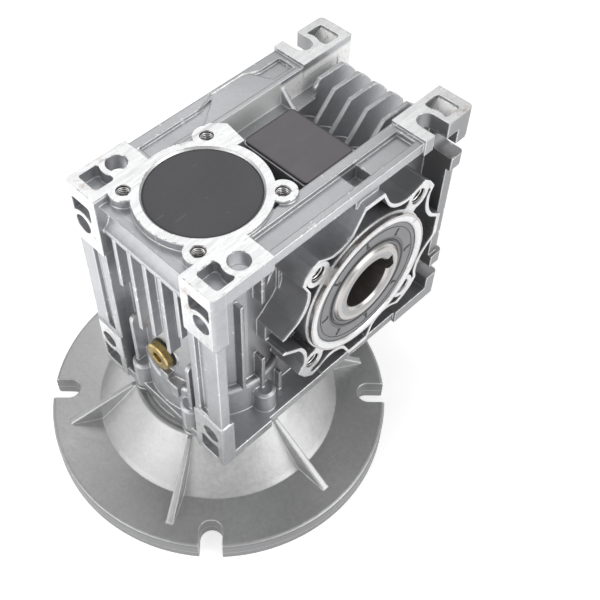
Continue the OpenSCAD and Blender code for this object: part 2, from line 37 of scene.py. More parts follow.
# ------------------------------------------------------------------ shader helpers
class Tree:
    """Short calls for building one material's node tree."""

    def __init__(self, name):
        self.m = bpy.data.materials.new(name)
        self.m.use_nodes = True
        self.t = self.m.node_tree
        self.t.nodes.clear()
        self.out = self.t.nodes.new("ShaderNodeOutputMaterial")
        self.b = self.t.nodes.new("ShaderNodeBsdfPrincipled")
        self.t.links.new(self.b.outputs[0], self.out.inputs[0])
        self.co = self.t.nodes.new("ShaderNodeTexCoord").outputs["Object"]
        self._xyz = None

    def put(self, sock, v):
        if hasattr(v, "is_output"):
            self.t.links.new(v, sock)
        elif isinstance(v, (tuple, list)) and len(v) == 3 and sock.type == "RGBA":
            sock.default_value = (*v, 1)
        else:
            sock.default_value = v

    def node(self, kind, ins=None, **props):
        n = self.t.nodes.new(kind)
        for k, v in props.items():
            setattr(n, k, v)
        for k, v in (ins or {}).items():
            self.put(n.inputs[k], v)
        return n

    def math(self, op, a, b=0.0, c=0.0, clamp=False):
        n = self.node("ShaderNodeMath", {0: a, 1: b, 2: c}, operation=op)
        n.use_clamp = clamp
        return n.outputs[0]

    def xyz(self):
        if self._xyz is None:
            n = self.node("ShaderNodeSeparateXYZ", {0: self.co})
            self._xyz = (n.outputs[0], n.outputs[1], n.outputs[2])
        return self._xyz

    def near(self, v, target, tol=0.00006):
        return self.math("COMPARE", v, target, tol)

    def any_of(self, *vs):
        r = vs[0]
        for v in vs[1:]:
            r = self.math("MAXIMUM", r, v)
        return r

    def all_of(self, *vs):
        r = vs[0]
        for v in vs[1:]:
            r = self.math("MULTIPLY", r, v)
        return r

    def more(self, v, x):
        return self.math("GREATER_THAN", v, x)

    def less(self, v, x):
        return self.math("LESS_THAN", v, x)

    def ramp(self, v, lo, hi, a=0.0, b=1.0, smooth=False):
        n = self.node("ShaderNodeMapRange", {0: v, 1: lo, 2: hi, 3: a, 4: b})
        n.clamp = True
        if smooth:
            n.interpolation_type = "SMOOTHSTEP"
        return n.outputs[0]

    def mix(self, f, a, b):
        n = self.node("ShaderNodeMix", data_type="RGBA")
        self.put(n.inputs[0], f)
        self.put(n.inputs[6], a)
        self.put(n.inputs[7], b)
        return n.outputs[2]

    def mixf(self, f, a, b):
        n = self.node("ShaderNodeMix", data_type="FLOAT")
        self.put(n.inputs[0], f)
        self.put(n.inputs[2], a)
        self.put(n.inputs[3], b)
        return n.outputs[0]

    def scaled(self, s, rot=(0, 0, 0), loc=(0, 0, 0)):
        n = self.node("ShaderNodeMapping", {0: self.co})
        n.inputs["Location"].default_value = loc
        n.inputs["Rotation"].default_value = rot
        n.inputs["Scale"].default_value = s if hasattr(s, "__len__") else (s, s, s)
        return n.outputs[0]

    def noise(self, scale, detail=2.0, rough=0.5, vec=None, dist=0.0):
        n = self.node("ShaderNodeTexNoise", {"Vector": vec if vec is not None else self.co, "Scale": scale,
                                             "Detail": detail, "Roughness": rough, "Distortion": dist})
        return n.outputs[0]

    def voro(self, scale, vec=None, feature="F1"):
        n = self.node("ShaderNodeTexVoronoi", {"Vector": vec if vec is not None else self.co, "Scale": scale}, feature=feature)
        return n.outputs[0]

    def bump(self, h, strength, dist, normal=None):
        n = self.node("ShaderNodeBump", {"Height": h, "Strength": strength, "Distance": dist})
        if normal is not None:
            self.put(n.inputs["Normal"], normal)
        return n.outputs[0]

    def bevel(self, radius, samples=6):
        n = self.node("ShaderNodeBevel", samples=samples)
        n.inputs["Radius"].default_value = radius
        return n.outputs[0]

    def edge(self, bev, lo=0.03, hi=0.25):
        """1 along edges, from how far the rounded normal leans away from the face's own."""
        g = self.node("ShaderNodeNewGeometry").outputs["Normal"]
        d = self.node("ShaderNodeVectorMath", {0: bev, 1: g}, operation="DOT_PRODUCT").outputs["Value"]
        return self.ramp(self.math("SUBTRACT", 1.0, d), lo, hi)

    def radius(self, axis):
        """Distance from the output axis ('y') or the worm axis ('z')."""
        x, y, z = self.xyz()
        if axis == "y":
            a, b = self.math("SUBTRACT", x, CX), self.math("SUBTRACT", z, CZ)
        else:
            a, b = x, y
        return self.math("SQRT", self.math("ADD", self.math("MULTIPLY", a, a), self.math("MULTIPLY", b, b)))

    def set(self, color=None, metallic=None, rough=None, normal=None, **consts):
        for k, v in (("Base Color", color), ("Metallic", metallic), ("Roughness", rough), ("Normal", normal)):
            if v is not None:
                self.put(self.b.inputs[k], v)
        for k, v in consts.items():
            self.b.inputs[k.replace("_", " ")].default_value = v
        return self.m


def cast_paint(t, tone):
    """Sprayed silver finish on a die casting: colour, roughness and height."""
    big = t.noise(22, 3, 0.55)
    fine = t.noise(1700, 2, 0.6)
    mid = t.noise(430, 3, 0.6)
    lump = t.noise(120, 2, 0.5)
    spark = t.ramp(t.noise(3800, 1, 0.5), 0.60, 0.74)
    k = t.ramp(big, 0.3, 0.7, 0.93, 1.07)
    k = t.math("MULTIPLY", k, t.ramp(mid, 0.3, 0.7, 0.95, 1.05))
    c = t.mix(t.ramp(k, 0.88, 1.12), tuple(c * 0.82 for c in tone), tuple(min(1, x * 1.18) for x in tone))
    c = t.mix(t.math("MULTIPLY", spark, 0.30), c, (0.80, 0.81, 0.82))
    rough = t.ramp(mid, 0.3, 0.7, 0.38, 0.48)
    h = t.math("ADD", t.math("ADD", t.math("MULTIPLY", fine, 0.4), t.math("MULTIPLY", mid, 0.8)), t.math("MULTIPLY", lump, 1.6))
    return c, rough, h


def bare_metal(t, vec, tone=(0.90, 0.905, 0.91)):
    """Milled or turned aluminium with fine parallel tool marks along the mapped X."""
    s1 = t.noise(1.0, 2, 0.6, vec=vec)
    s2 = t.noise(2.7, 3, 0.7, vec=vec)
    broad = t.noise(0.16, 2, 0.5, vec=vec)
    spots = t.ramp(t.noise(900, 2, 0.6), 0.62, 0.72)
    cloud = t.noise(75, 3, 0.6)
    c = t.mix(t.ramp(s2, 0.35, 0.70), tuple(x * 0.78 for x in tone), tone)
    c = t.mix(t.ramp(broad, 0.46, 0.62, 0.0, 0.55), c, tuple(x * 0.74 for x in tone))
    c = t.mix(t.ramp(cloud, 0.48, 0.75, 0.0, 0.45), c, tuple(x * 0.76 for x in tone))
    c = t.mix(t.math("MULTIPLY", spots, 0.35), c, (0.46, 0.44, 0.43))
    rough = t.ramp(s1, 0.3, 0.7, 0.26, 0.44)
    return c, rough, s2


# ------------------------------------------------------------------ cast aluminium: case and cover
def make_cast(name, tone=(0.50, 0.505, 0.52)):
    t = Tree(name)
    x, y, z = t.xyz()
    bev = t.bevel(0.0010, 10)
    tight = t.bevel(0.00032, 6)
    c, rough, h = cast_paint(t, tone)
    # painted shade: darker colour down in the recess round the gear case
    ro, rz = t.radius("y"), t.radius("z")
    ay = t.math("ABSOLUTE", y)
    recess_shade = t.all_of(t.ramp(ro, 0.068, 0.060), t.more(ro, 0.0353), t.more(ay, 0.014), t.less(ay, 0.0425), t.more(x, -0.004),
                    t.ramp(z, 0.134, 0.128), t.less(x, 0.099))
    c = t.mix(t.math("MULTIPLY", recess_shade, 0.50), c, (0.235, 0.232, 0.236))
    # and painted shade, a darker colour, on the brackets and rails of the far end and on the low rails towards it
    far_shade = t.any_of(t.all_of(t.ramp(x, 0.066, 0.100), t.more(ay, 0.0262)), t.all_of(t.ramp(x, 0.030, 0.075), t.ramp(z, 0.062, 0.054)))
    c = t.mix(t.math("MULTIPLY", far_shade, 0.75), c, (0.25, 0.25, 0.255))
    # bright edges, broken up: partly worn bare metal, partly a painted highlight; chips where the paint is gone, each
    # in a dark rim of painted shade
    lean = t.edge(bev, 0.010, 0.13)
    e = t.math("MULTIPLY", lean, t.ramp(t.noise(240, 3, 0.65), 0.32, 0.55, 0.55, 1.0))
    wide = t.bevel(0.0022, 6)
    patch = t.all_of(t.edge(wide, 0.006, 0.03), t.ramp(t.noise(58, 2, 0.6), 0.50, 0.56))
    flake = t.noise(430, 3, 0.65)
    shade = t.all_of(patch, t.ramp(flake, 0.555, 0.575))
    chips = t.all_of(patch, t.ramp(flake, 0.580, 0.600))
    # machined faces, picked by where they lie
    flat_top = t.near(z, 0.154)
    faces = t.any_of(flat_top, t.near(ay, 0.0435), t.near(ay, 0.046), t.near(x, -0.034), t.near(x, 0.110), t.near(x, -0.0276))
    bores = t.any_of(t.all_of(t.less(ro, 0.03525), t.more(ay, 0.0145)),
                     t.all_of(t.less(rz, 0.0249), t.any_of(t.more(z, 0.1295), t.less(z, 0.0575))))
    # raw skin with small pits: inside of the wall at the far end, and the sloping floors of the far pads' pockets
    wall = t.all_of(t.math("COMPARE", y, 0.0247, 0.0004), t.more(x, 0.0665), t.more(z, 0.090), t.ramp(z, 0.1512, 0.1494))
    slope = t.all_of(t.math("COMPARE", x, 0.1033, 0.0030), t.math("COMPARE", ay, 0.0332, 0.0052), t.less(z, 0.1533), t.more(z, 0.1470))
    raw = t.any_of(wall, slope)
    # painted light: the inner wall of the trough, facing the near side, coloured a lighter grey
    trough_light = t.all_of(t.math("COMPARE", y, 0.0247, 0.0006), t.less(x, 0.0668), t.more(x, 0.010), t.more(z, 0.1262))
    c = t.mix(trough_light, c, (0.70, 0.705, 0.70))
    # milling marks: diagonal on the top, upright on the ends, turned rings on the output face and its pilot ring
    v_top = t.scaled((130, 3000, 600), rot=(0, 0, math.radians(33)))
    ct, rt, ht = bare_metal(t, v_top)
    turned = t.noise(1.0, 2, 0.6, vec=t.node("ShaderNodeCombineXYZ", {0: t.math("MULTIPLY", ro, 2600), 1: 0.0, 2: 0.0}).outputs[0])
    on_ring = t.all_of(t.near(ay, 0.046), t.less(ro, 0.0352))
    ct = t.mix(on_ring, ct, t.mix(t.ramp(turned, 0.3, 0.7), (0.70, 0.70, 0.71), (0.93, 0.93, 0.935)))
    # polished outer band and rim of the pilot ring: painted shade where a chamfer would turn away, and painted
    # reflections as light and dark streaks
    polish_and_shade = t.all_of(t.more(ro, 0.0340), t.less(ro, 0.03525), t.more(ay, 0.04352))
    ct = t.mix(polish_and_shade, ct, t.mix(t.ramp(turned, 0.3, 0.7), (0.40, 0.385, 0.375), (0.72, 0.70, 0.69)))
    rt = t.mixf(polish_and_shade, rt, 0.24)
    m = t.any_of(faces, bores)
    # edges lightened as worn metal and as a painted highlight, painted shade round the chips, then the bare chips
    c = t.mix(t.math("MULTIPLY", e, 0.85), c, (0.92, 0.92, 0.92))
    c = t.mix(t.math("MULTIPLY", shade, 0.6), c, (0.20, 0.19, 0.18))
    c = t.mix(chips, c, (0.98, 0.98, 0.98))
    c = t.mix(m, c, ct)
    # painted highlight along the machined edges
    edge_highlight = t.all_of(m, t.edge(tight, 0.02, 0.2))
    c = t.mix(t.math("MULTIPLY", edge_highlight, 0.6), c, (0.97, 0.97, 0.97))
    pits = t.ramp(t.noise(650, 4, 0.7), 0.54, 0.68)
    c = t.mix(raw, c, t.mix(t.math("MULTIPLY", pits, 0.60), (0.97, 0.97, 0.96), (0.52, 0.50, 0.48)))
    # handling stains at machined corners and along the near edge
    st = t.all_of(m, t.ramp(t.noise(120, 4, 0.7), 0.55, 0.70), t.any_of(t.less(x, -0.0285), t.more(x, 0.100), t.more(ay, 0.0395)))
    c = t.mix(t.math("MULTIPLY", st, 0.55), c, (0.34, 0.25, 0.20))
    nick = t.all_of(flat_top, t.less(x, 0.034), t.edge(bev, 0.006, 0.03), t.ramp(t.noise(420, 4, 0.7), 0.53, 0.58), t.ramp(t.noise(60, 2, 0.6), 0.47, 0.53))
    c = t.mix(nick, c, (0.13, 0.095, 0.075))
    metal = t.mixf(t.any_of(m, raw), t.math("MULTIPLY", e, 0.8), 0.92)
    metal = t.math("MAXIMUM", metal, 0.86)
    metal = t.mixf(t.any_of(wall, trough_light), metal, 0.25)
    rough = t.mixf(m, rough, rt)
    rough = t.mixf(raw, rough, 0.50)
    rough = t.mixf(t.math("MULTIPLY", e, 0.7), rough, 0.24)
    n1 = t.bump(t.math("ADD", h, t.math("MULTIPLY", t.math("MULTIPLY", raw, pits), -3.0)), 0.22, 0.0004, bev)
    n2 = t.bump(ht, 0.20, 0.00008, tight)
    nn = t.node("ShaderNodeMix", data_type="VECTOR")
    t.put(nn.inputs[0], m)
    t.put(nn.inputs[4], n1)
    t.put(nn.inputs[5], n2)
    return t.set(c, metal, rough, nn.outputs[1])


def make_flange():
    t = Tree("cast_flange")
    x, y, z = t.xyz()
    bev = t.bevel(0.0009, 10)
    c, rough, h = cast_paint(t, (0.54, 0.545, 0.54))
    e = t.edge(bev, 0.015, 0.18)
    e = t.math("MULTIPLY", e, t.ramp(t.noise(230, 3, 0.65), 0.36, 0.60, 0.20, 1.0))
    rz = t.radius("z")
    # painted shade: the flat top ring of the flange coloured a little darker
    flat_shade = t.all_of(t.near(z, 0.0115, 0.0003), t.more(rz, 0.0570))
    c = t.mix(t.math("MULTIPLY", flat_shade, 0.12), c, (0.25, 0.255, 0.25))
    # painted shade: the sides of the rim coloured much darker
    rim_shade = t.all_of(t.less(z, 0.0109), t.more(z, 0.0002), t.more(rz, 0.0600))
    c = t.mix(t.math("MULTIPLY", rim_shade, 0.8), c, (0.16, 0.16, 0.165))
    m = t.any_of(t.near(z, 0.0), t.near(z, 0.005), t.all_of(t.less(rz, 0.0572), t.less(z, 0.0051)))
    v = t.scaled((300, 2600, 600), rot=(0, 0, 0.6))
    ct, rt, ht = bare_metal(t, v)
    # thin scratches across the rim
    sv = t.scaled((900, 60, 200), rot=(0, 0, 0.35))
    scr = t.all_of(t.ramp(t.noise(1.0, 1, 0.4, vec=sv), 0.735, 0.76), t.ramp(t.noise(60, 1, 0.5), 0.55, 0.62))
    nick = t.all_of(t.ramp(t.noise(330, 2, 0.6), 0.70, 0.74), t.ramp(t.noise(45, 1, 0.5), 0.56, 0.64))
    c = t.mix(t.math("MULTIPLY", t.any_of(scr, nick), 0.5), c, (0.75, 0.75, 0.73))
    # lighter edges, partly worn metal, partly a painted highlight
    c = t.mix(t.math("MULTIPLY", e, 0.7), c, (0.80, 0.80, 0.78))
    c = t.mix(m, c, ct)
    metal = t.math("MAXIMUM", t.mixf(m, t.math("MULTIPLY", e, 0.6), 0.92), 0.84)
    rough = t.mixf(m, rough, rt)
    return t.set(c, metal, rough, t.bump(h, 0.26, 0.0005, bev))


# ------------------------------------------------------------------ steels
def make_steel(name, tone, rough_lo, rough_hi, axis, warm=(0.45, 0.41, 0.37), marks=2600, bevel=0.0003):
    """Turned steel: rings round the axis, a little oil colour."""
    t = Tree(name)
    x, y, z = t.xyz()
    r = t.radius(axis)
    along = y if axis == "y" else z
    v = t.node("ShaderNodeCombineXYZ", {0: t.math("MULTIPLY", r, marks), 1: t.math("MULTIPLY", along, marks), 2: 0.0}).outputs[0]
    rings = t.noise(1.0, 2, 0.6, vec=v)
    cloud = t.noise(90, 3, 0.6)
    c = t.mix(t.ramp(rings, 0.3, 0.7), tuple(a * 0.86 for a in tone), tone)
    c = t.mix(t.ramp(cloud, 0.5, 0.8, 0.0, 0.5), c, warm)
    bev = t.bevel(bevel, 4)
    return t.set(c, 1.0, t.ramp(rings, 0.25, 0.75, rough_lo, rough_hi), t.bump(rings, 0.12, 0.00006, bev))


def make_hub():
    t = Tree("hub_steel")
    x, y, z = t.xyz()
    r = t.radius("y")
    ring = t.noise(1.0, 2, 0.6, vec=t.node("ShaderNodeCombineXYZ", {0: t.math("MULTIPLY", r, 2400), 1: t.math("MULTIPLY", y, 2400), 2: 0.0}).outputs[0])
    hone = t.noise(1.0, 2, 0.5, vec=t.scaled((420, 160, 420)))
    grain = t.noise(1300, 2, 0.6)
    cloud = t.noise(110, 3, 0.6)
    # painted shade: the bore and the flat front face coloured darker than the turned steel round them
    bore = t.less(r, 0.01262)
    face = t.all_of(t.near(t.math("ABSOLUTE", y), 0.046, 0.00008), t.less(r, 0.0166))
    c = t.mix(t.ramp(ring, 0.3, 0.7), (0.44, 0.425, 0.415), (0.70, 0.68, 0.665))
    c = t.mix(t.ramp(cloud, 0.45, 0.8, 0.0, 0.55), c, (0.50, 0.44, 0.39))
    flat = t.mix(t.ramp(ring, 0.3, 0.7), (0.33, 0.327, 0.33), (0.42, 0.417, 0.42))
    c = t.mix(face, c, t.mix(t.ramp(grain, 0.45, 0.75, 0.0, 0.35), flat, (0.74, 0.73, 0.72)))
    c = t.mix(bore, c, t.mix(t.ramp(hone, 0.3, 0.7), (0.27, 0.25, 0.235), (0.32, 0.298, 0.28)))
    rough = t.mixf(bore, t.mixf(face, t.ramp(ring, 0.3, 0.7, 0.24, 0.32), t.ramp(grain, 0.3, 0.7, 0.36, 0.46)), 0.42)
    bev = t.bevel(0.0004, 6)
    h = t.mixf(bore, t.mixf(face, ring, grain), hone)
    return t.set(c, 1.0, rough, t.bump(h, 0.10, 0.00006, bev))


def make_bronze():
    t = Tree("bronze")
    cloud = t.noise(60, 3, 0.6)
    c = t.mix(t.ramp(cloud, 0.35, 0.7), (0.62, 0.36, 0.12), (0.76, 0.50, 0.20))
    n = t.noise(1800, 2, 0.5)
    return t.set(c, 1.0, t.ramp(n, 0.3, 0.7, 0.26, 0.40), t.bump(n, 0.1, 0.00006, t.bevel(0.0002, 4)))


def make_zinc():
    t = Tree("zinc_screws")
    cloud = t.noise(160, 3, 0.6)
    c = t.mix(t.ramp(cloud, 0.35, 0.7), (0.50, 0.51, 0.53), (0.66, 0.67, 0.69))
    return t.set(c, 1.0, t.ramp(cloud, 0.3, 0.7, 0.30, 0.42), t.bump(cloud, 0.1, 0.0001, t.bevel(0.0003, 4)))


def make_yellow():
    t = Tree("yellow_zinc")
    x, y, z = t.xyz()
    cloud = t.noise(300, 3, 0.6)
    iris = t.noise(140, 2, 0.5)
    c = t.mix(t.ramp(cloud, 0.3, 0.7), (0.46, 0.33, 0.115), (0.66, 0.52, 0.24))
    c = t.mix(t.ramp(iris, 0.52, 0.75, 0.0, 0.55), c, (0.58, 0.45, 0.36))
    bev = t.bevel(0.0005, 8)
    e = t.edge(bev, 0.03, 0.3)
    # painted highlight along the plug's edges
    c = t.mix(t.math("MULTIPLY", e, 0.7), c, (0.90, 0.82, 0.58))
    return t.set(c, 0.95, t.ramp(cloud, 0.3, 0.7, 0.22, 0.36), t.bump(cloud, 0.12, 0.00012, bev))


# ------------------------------------------------------------------ rubber and plastic
def make_seal():
    t = Tree("seal_rubber")
    r = t.radius("y")
    n = t.noise(1400, 3, 0.6)
    big = t.noise(70, 2, 0.5)
    c = t.mix(t.ramp(n, 0.3, 0.7), (0.165, 0.165, 0.172), (0.215, 0.215, 0.222))
    c = t.mix(t.ramp(big, 0.4, 0.7, 0.0, 0.3), c, (0.25, 0.25, 0.255))
    # darker ring at the lip
    lip = t.all_of(t.less(r, 0.0226), t.more(r, 0.0198))
    c = t.mix(t.math("MULTIPLY", lip, 0.35), c, (0.10, 0.10, 0.10))
    return t.set(c, 0.0, t.ramp(n, 0.3, 0.7, 0.42, 0.54), t.bump(n, 0.12, 0.0001, t.bevel(0.0002, 4)))


def make_rubber(name, lo, hi, rough=0.5):
    t = Tree(name)
    n = t.noise(1200, 3, 0.6)
    c = t.mix(t.ramp(n, 0.3, 0.7), lo, hi)
    return t.set(c, 0.0, t.ramp(n, 0.3, 0.7, rough - 0.06, rough + 0.06), t.bump(n, 0.1, 0.0001, t.bevel(0.0003, 4)))


def make_cap():
    t = Tree("cap_rubber")
    n = t.noise(900, 3, 0.6)
    big = t.noise(38, 3, 0.55)
    c = t.mix(t.ramp(n, 0.3, 0.7), (0.068, 0.0675, 0.073), (0.094, 0.093, 0.100))
    c = t.mix(t.ramp(big, 0.4, 0.75, 0.0, 0.35), c, (0.118, 0.117, 0.124))
    # thin pale scuffs and dust specks
    v1 = t.scaled((60, 1500, 60), rot=(0, 0, 0.9))
    v2 = t.scaled((50, 1300, 60), rot=(0, 0, -0.5))
    s = t.any_of(t.all_of(t.ramp(t.noise(1.0, 1, 0.4, vec=v1, dist=0.3), 0.755, 0.775), t.ramp(t.noise(75, 1), 0.56, 0.62)),
                 t.all_of(t.ramp(t.noise(1.0, 1, 0.4, vec=v2, dist=0.3), 0.765, 0.785), t.ramp(t.noise(66, 1), 0.57, 0.63)))
    d = t.less(t.voro(210), 0.055)
    d = t.math("MULTIPLY", d, t.ramp(t.noise(190, 1), 0.47, 0.58))
    c = t.mix(t.math("MULTIPLY", s, 0.42), c, (0.45, 0.45, 0.45))
    c = t.mix(t.math("MULTIPLY", d, 0.65), c, (0.60, 0.60, 0.60))
    return t.set(c, 0.0, t.ramp(n, 0.3, 0.7, 0.44, 0.56), t.bump(n, 0.10, 0.0001, t.bevel(0.0004, 6)))


def make_plate():
    t = Tree("plate_grey")
    v = t.scaled((60, 1500, 300), rot=(0, 0, 0.0))
    br = t.noise(1.0, 3, 0.6, vec=v)
    big = t.noise(60, 2, 0.6)
    c = t.mix(t.ramp(br, 0.3, 0.7), (0.125, 0.118, 0.126), (0.145, 0.137, 0.147))
    c = t.mix(t.ramp(big, 0.45, 0.75, 0.0, 0.4), c, (0.17, 0.16, 0.17))
    # rolled border
    x, y, z = t.xyz()
    dx = t.math("SUBTRACT", t.math("ABSOLUTE", t.math("SUBTRACT", x, 0.0452)), 0.0137)
    dy = t.math("SUBTRACT", t.math("ABSOLUTE", t.math("ADD", y, 0.00685)), 0.01755)
    rim = t.ramp(t.math("MAXIMUM", dx, dy), -0.0009, -0.0004)
    c = t.mix(t.math("MULTIPLY", rim, 0.7), c, (0.055, 0.05, 0.05))
    bev = t.bevel(0.0005, 6)
    return t.set(c, 0.55, t.ramp(br, 0.3, 0.7, 0.34, 0.46), t.bump(br, 0.06, 0.00006, bev))


CAST, FLANGE = make_cast("cast_aluminium"), make_flange()
HUB = make_hub()
BEARING_Y = make_steel("bearing_steel_out", (0.80, 0.80, 0.80), 0.14, 0.24, "y")
BEARING_Z = make_steel("bearing_steel_worm", (0.80, 0.80, 0.80), 0.14, 0.24, "z")
WORM = make_steel("ground_steel", (0.70, 0.70, 0.70), 0.18, 0.30, "z")
SPRING = make_steel("spring_steel", (0.16, 0.155, 0.15), 0.30, 0.42, "z", warm=(0.12, 0.10, 0.09))
BRONZE, ZINC, YELLOW = make_bronze(), make_zinc(), make_yellow()
SEAL, CAP, PLATE = make_seal(), make_cap(), make_plate()
BLACK = make_rubber("black_rubber", (0.018, 0.018, 0.02), (0.03, 0.03, 0.032))

LOOK = {"housing": CAST, "side_cover": CAST, "input_flange": FLANGE, "cover_screws": ZINC, "flange_screws": ZINC,
        "cover_oring": BLACK, "worm_shaft": WORM, "worm_seal": SEAL, "worm_circlip": SPRING, "end_cap": CAP,
        "output_hub": HUB, "worm_wheel_rim": BRONZE, "output_seal_front": SEAL, "output_seal_rear": SEAL,
        "oil_plug": YELLOW, "plug_washer": BLACK, "nameplate": PLATE}
for name, o in N.items():
    m = LOOK.get(name) or (BEARING_Z if name.startswith("worm_bearing") else BEARING_Y)
    for s in o.material_slots:
        s.material = m


# ------------------------------------------------------------------ added geometry
def new_piece(name, verts, faces, material, body, smooth=True):
    me = bpy.data.meshes.new(name)
    me.from_pydata(verts, [], faces)
    me.validate()
    bm = bmesh.new()
    bm.from_mesh(me)
    bmesh.ops.recalc_face_normals(bm, faces=bm.faces)
    bm.to_mesh(me)
    bm.free()
    if smooth:
        for p in me.polygons:
            p.use_smooth = True
        me.set_sharp_from_angle(angle=math.radians(40))
    me.materials.append(material)
    o = bpy.data.objects.new(name, me)
    bpy.context.scene.collection.objects.link(o)
    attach(o, body)
    return o


def thread_verts(rmaj, depth, pitch, height, seg=48, per=6, wall=0.00012):
    """One closed sleeve with an inner helical thread, z from 0 (mouth) down to -height."""
    turns = height / pitch
    rows = int(turns * per) + 1
    V, F = [], []
    prof = [0.0, 0.45, 1.0, 0.45]
    for j in range(rows):
        for i in range(seg):
            a = 2 * math.pi * i / seg
            ph = (j / per + i / seg) % 1.0
            k = ph * len(prof)
            i0 = int(k) % len(prof)
            f = k - int(k)
            h = prof[i0] * (1 - f) + prof[(i0 + 1) % len(prof)] * f
            z = -(j / per) * pitch
            fade = min(1.0, max(0.0, (-z - 0.0002) / (0.9 * pitch)))
            r = rmaj - depth * h * fade
            V.append((r * math.cos(a), r * math.sin(a), z))
    for j in range(rows - 1):
        for i in range(seg):
            a, b = j * seg + i, j * seg + (i + 1) % seg
            F.append((a, b, b + seg, a + seg))
    base = len(V)
    zb = V[-1][2]
    for z in (0.0, zb):
        for i in range(seg):
            a = 2 * math.pi * i / seg
            V.append(((rmaj + wall) * math.cos(a), (rmaj + wall) * math.sin(a), z))
    for i in range(seg):
        k = (i + 1) % seg
        F.append((base + i, base + k, base + seg + k, base + seg + i))
        F.append((i, k, base + k, base + i))
        F.append(((rows - 1) * seg + i, (rows - 1) * seg + k, base + seg + k, base + seg + i))
    return V, F


def make_thread_metal(name, plane, offset, root, crest):
    """Tapped hole: painted shade in the roots and a painted highlight on the crests, by the distance from the hole's
    own axis.
    """
    t = Tree(name)
    x, y, z = t.xyz()
    a, b = (x, y) if plane == "xy" else (t.math("SUBTRACT", x, CX), t.math("SUBTRACT", z, CZ))
    du, dv = (t.math("SUBTRACT", t.math("ABSOLUTE", k), offset) for k in (a, b))
    r = t.math("SQRT", t.math("ADD", t.math("MULTIPLY", du, du), t.math("MULTIPLY", dv, dv)))
    n = t.noise(1500, 2, 0.6)
    c = t.mix(t.ramp(r, crest, root), t.mix(n, (0.80, 0.79, 0.78), (0.96, 0.95, 0.94)), (0.030, 0.028, 0.026))
    # bright countersink at the mouth
    mouth = t.more(z, 0.1534) if plane == "xy" else t.more(t.math("ABSOLUTE", y), 0.0429)
    c = t.mix(mouth, c, (0.92, 0.92, 0.92))
    return t.set(c, 0.9, t.ramp(n, 0.3, 0.7, 0.30, 0.42), t.bump(n, 0.1, 0.00006))


TAP_RING = make_thread_metal("tapped_ring", "xy", 0.02157, 0.00280, 0.00266)
TAP_FACE = make_thread_metal("tapped_face", "xz", 0.0425 * math.sqrt(0.5), 0.00376, 0.00358)
TAP_REAR = make_thread_metal("tapped_rear", "xz", 0.0425 * math.sqrt(0.5), 0.00324, 0.00308)


def threads(name, holes, rmaj, depth, pitch, height, body, metal):
    """Sleeves for several holes in one mesh; each hole is (point at the mouth, outward direction)."""
    V, F = [], []
    for p, d in holes:
        v, f = thread_verts(rmaj, depth, pitch, height)
        q = Vector((0, 0, 1)).rotation_difference(Vector(d))
        base = len(V)
        V += [tuple(Vector(p) + q @ Vector(c)) for c in v]
        F += [tuple(base + i for i in g) for g in f]
    return new_piece(name, V, F, metal, body)


S = 0.02157
threads("ring_threads", [((sx * S, sy * S, 0.15392), (0, 0, 1)) for sx in (-1, 1) for sy in (-1, 1)],
        0.00298, 0.00052, 0.001, 0.0115, "case", TAP_RING)
R = 0.0425
threads("output_threads_front", [((CX + R * math.cos(a), -0.04342, CZ + R * math.sin(a)), (0, -1, 0))
                                 for a in [math.radians(d) for d in (45, 135, 225, 315)]],
        0.00398, 0.00065, 0.00125, 0.0138, "case", TAP_FACE)
threads("output_threads_rear", [((CX + R * math.cos(a), 0.04342, CZ + R * math.sin(a)), (0, 1, 0))
                                for a in [math.radians(d) for d in (45, 135, 225, 315)]],
        0.00338, 0.00045, 0.00125, 0.0118, "case", TAP_REAR)


def seal_marks(name, side):
    """Moulded marks on a seal's face: eight short radial ribs, each with a little arc, and two thin rings, coloured
    near black as painted shade.
    """
    V, F = [], []
    y0 = side * 0.0450

    def arc(r, w, hgt, a0, a1, seg):
        """A flat-topped rib along an arc, or a whole ring."""
        base, whole = len(V), a1 - a0 > 6.28
        n = seg if whole else seg + 1
        for i in range(n):
            a = a0 + (a1 - a0) * i / seg
            for rr, hh in ((r - w / 2, -0.0001), (r - w * 0.3, hgt), (r + w * 0.3, hgt), (r + w / 2, -0.0001)):
                V.append((CX + rr * math.cos(a), y0 + side * hh, CZ + rr * math.sin(a)))
        for i in range(seg):
            k = (i + 1) % n
            for j in range(4):
                F.append((base + i * 4 + j, base + k * 4 + j, base + k * 4 + (j + 1) % 4, base + i * 4 + (j + 1) % 4))
        if not whole:
            F.append(tuple(base + j for j in range(4)))
            F.append(tuple(base + seg * 4 + j for j in range(4)))

    for k in range(8):
        a = math.radians(k * 45 + 6)
        arc(0.02580, 0.0046, 0.00018, a - 0.019, a + 0.019, 1)
        arc(0.0244, 0.0010, 0.00016, a - 0.060, a - 0.018, 4)
    arc(0.0285, 0.00030, 0.00016, 0, 2 * math.pi, 160)
    arc(0.0222, 0.00040, 0.00015, 0, 2 * math.pi, 160)
    return new_piece(name, V, F, SEAL_MARK_SHADE, "case", smooth=False)


# near-black colour on the seal's moulded marks: painted shade along the ribs and rings
SEAL_MARK_SHADE = make_rubber("seal_mark", (0.012, 0.012, 0.013), (0.022, 0.022, 0.023), 0.5)
seal_marks("seal_marks_front", -1)
seal_marks("seal_marks_rear", 1)


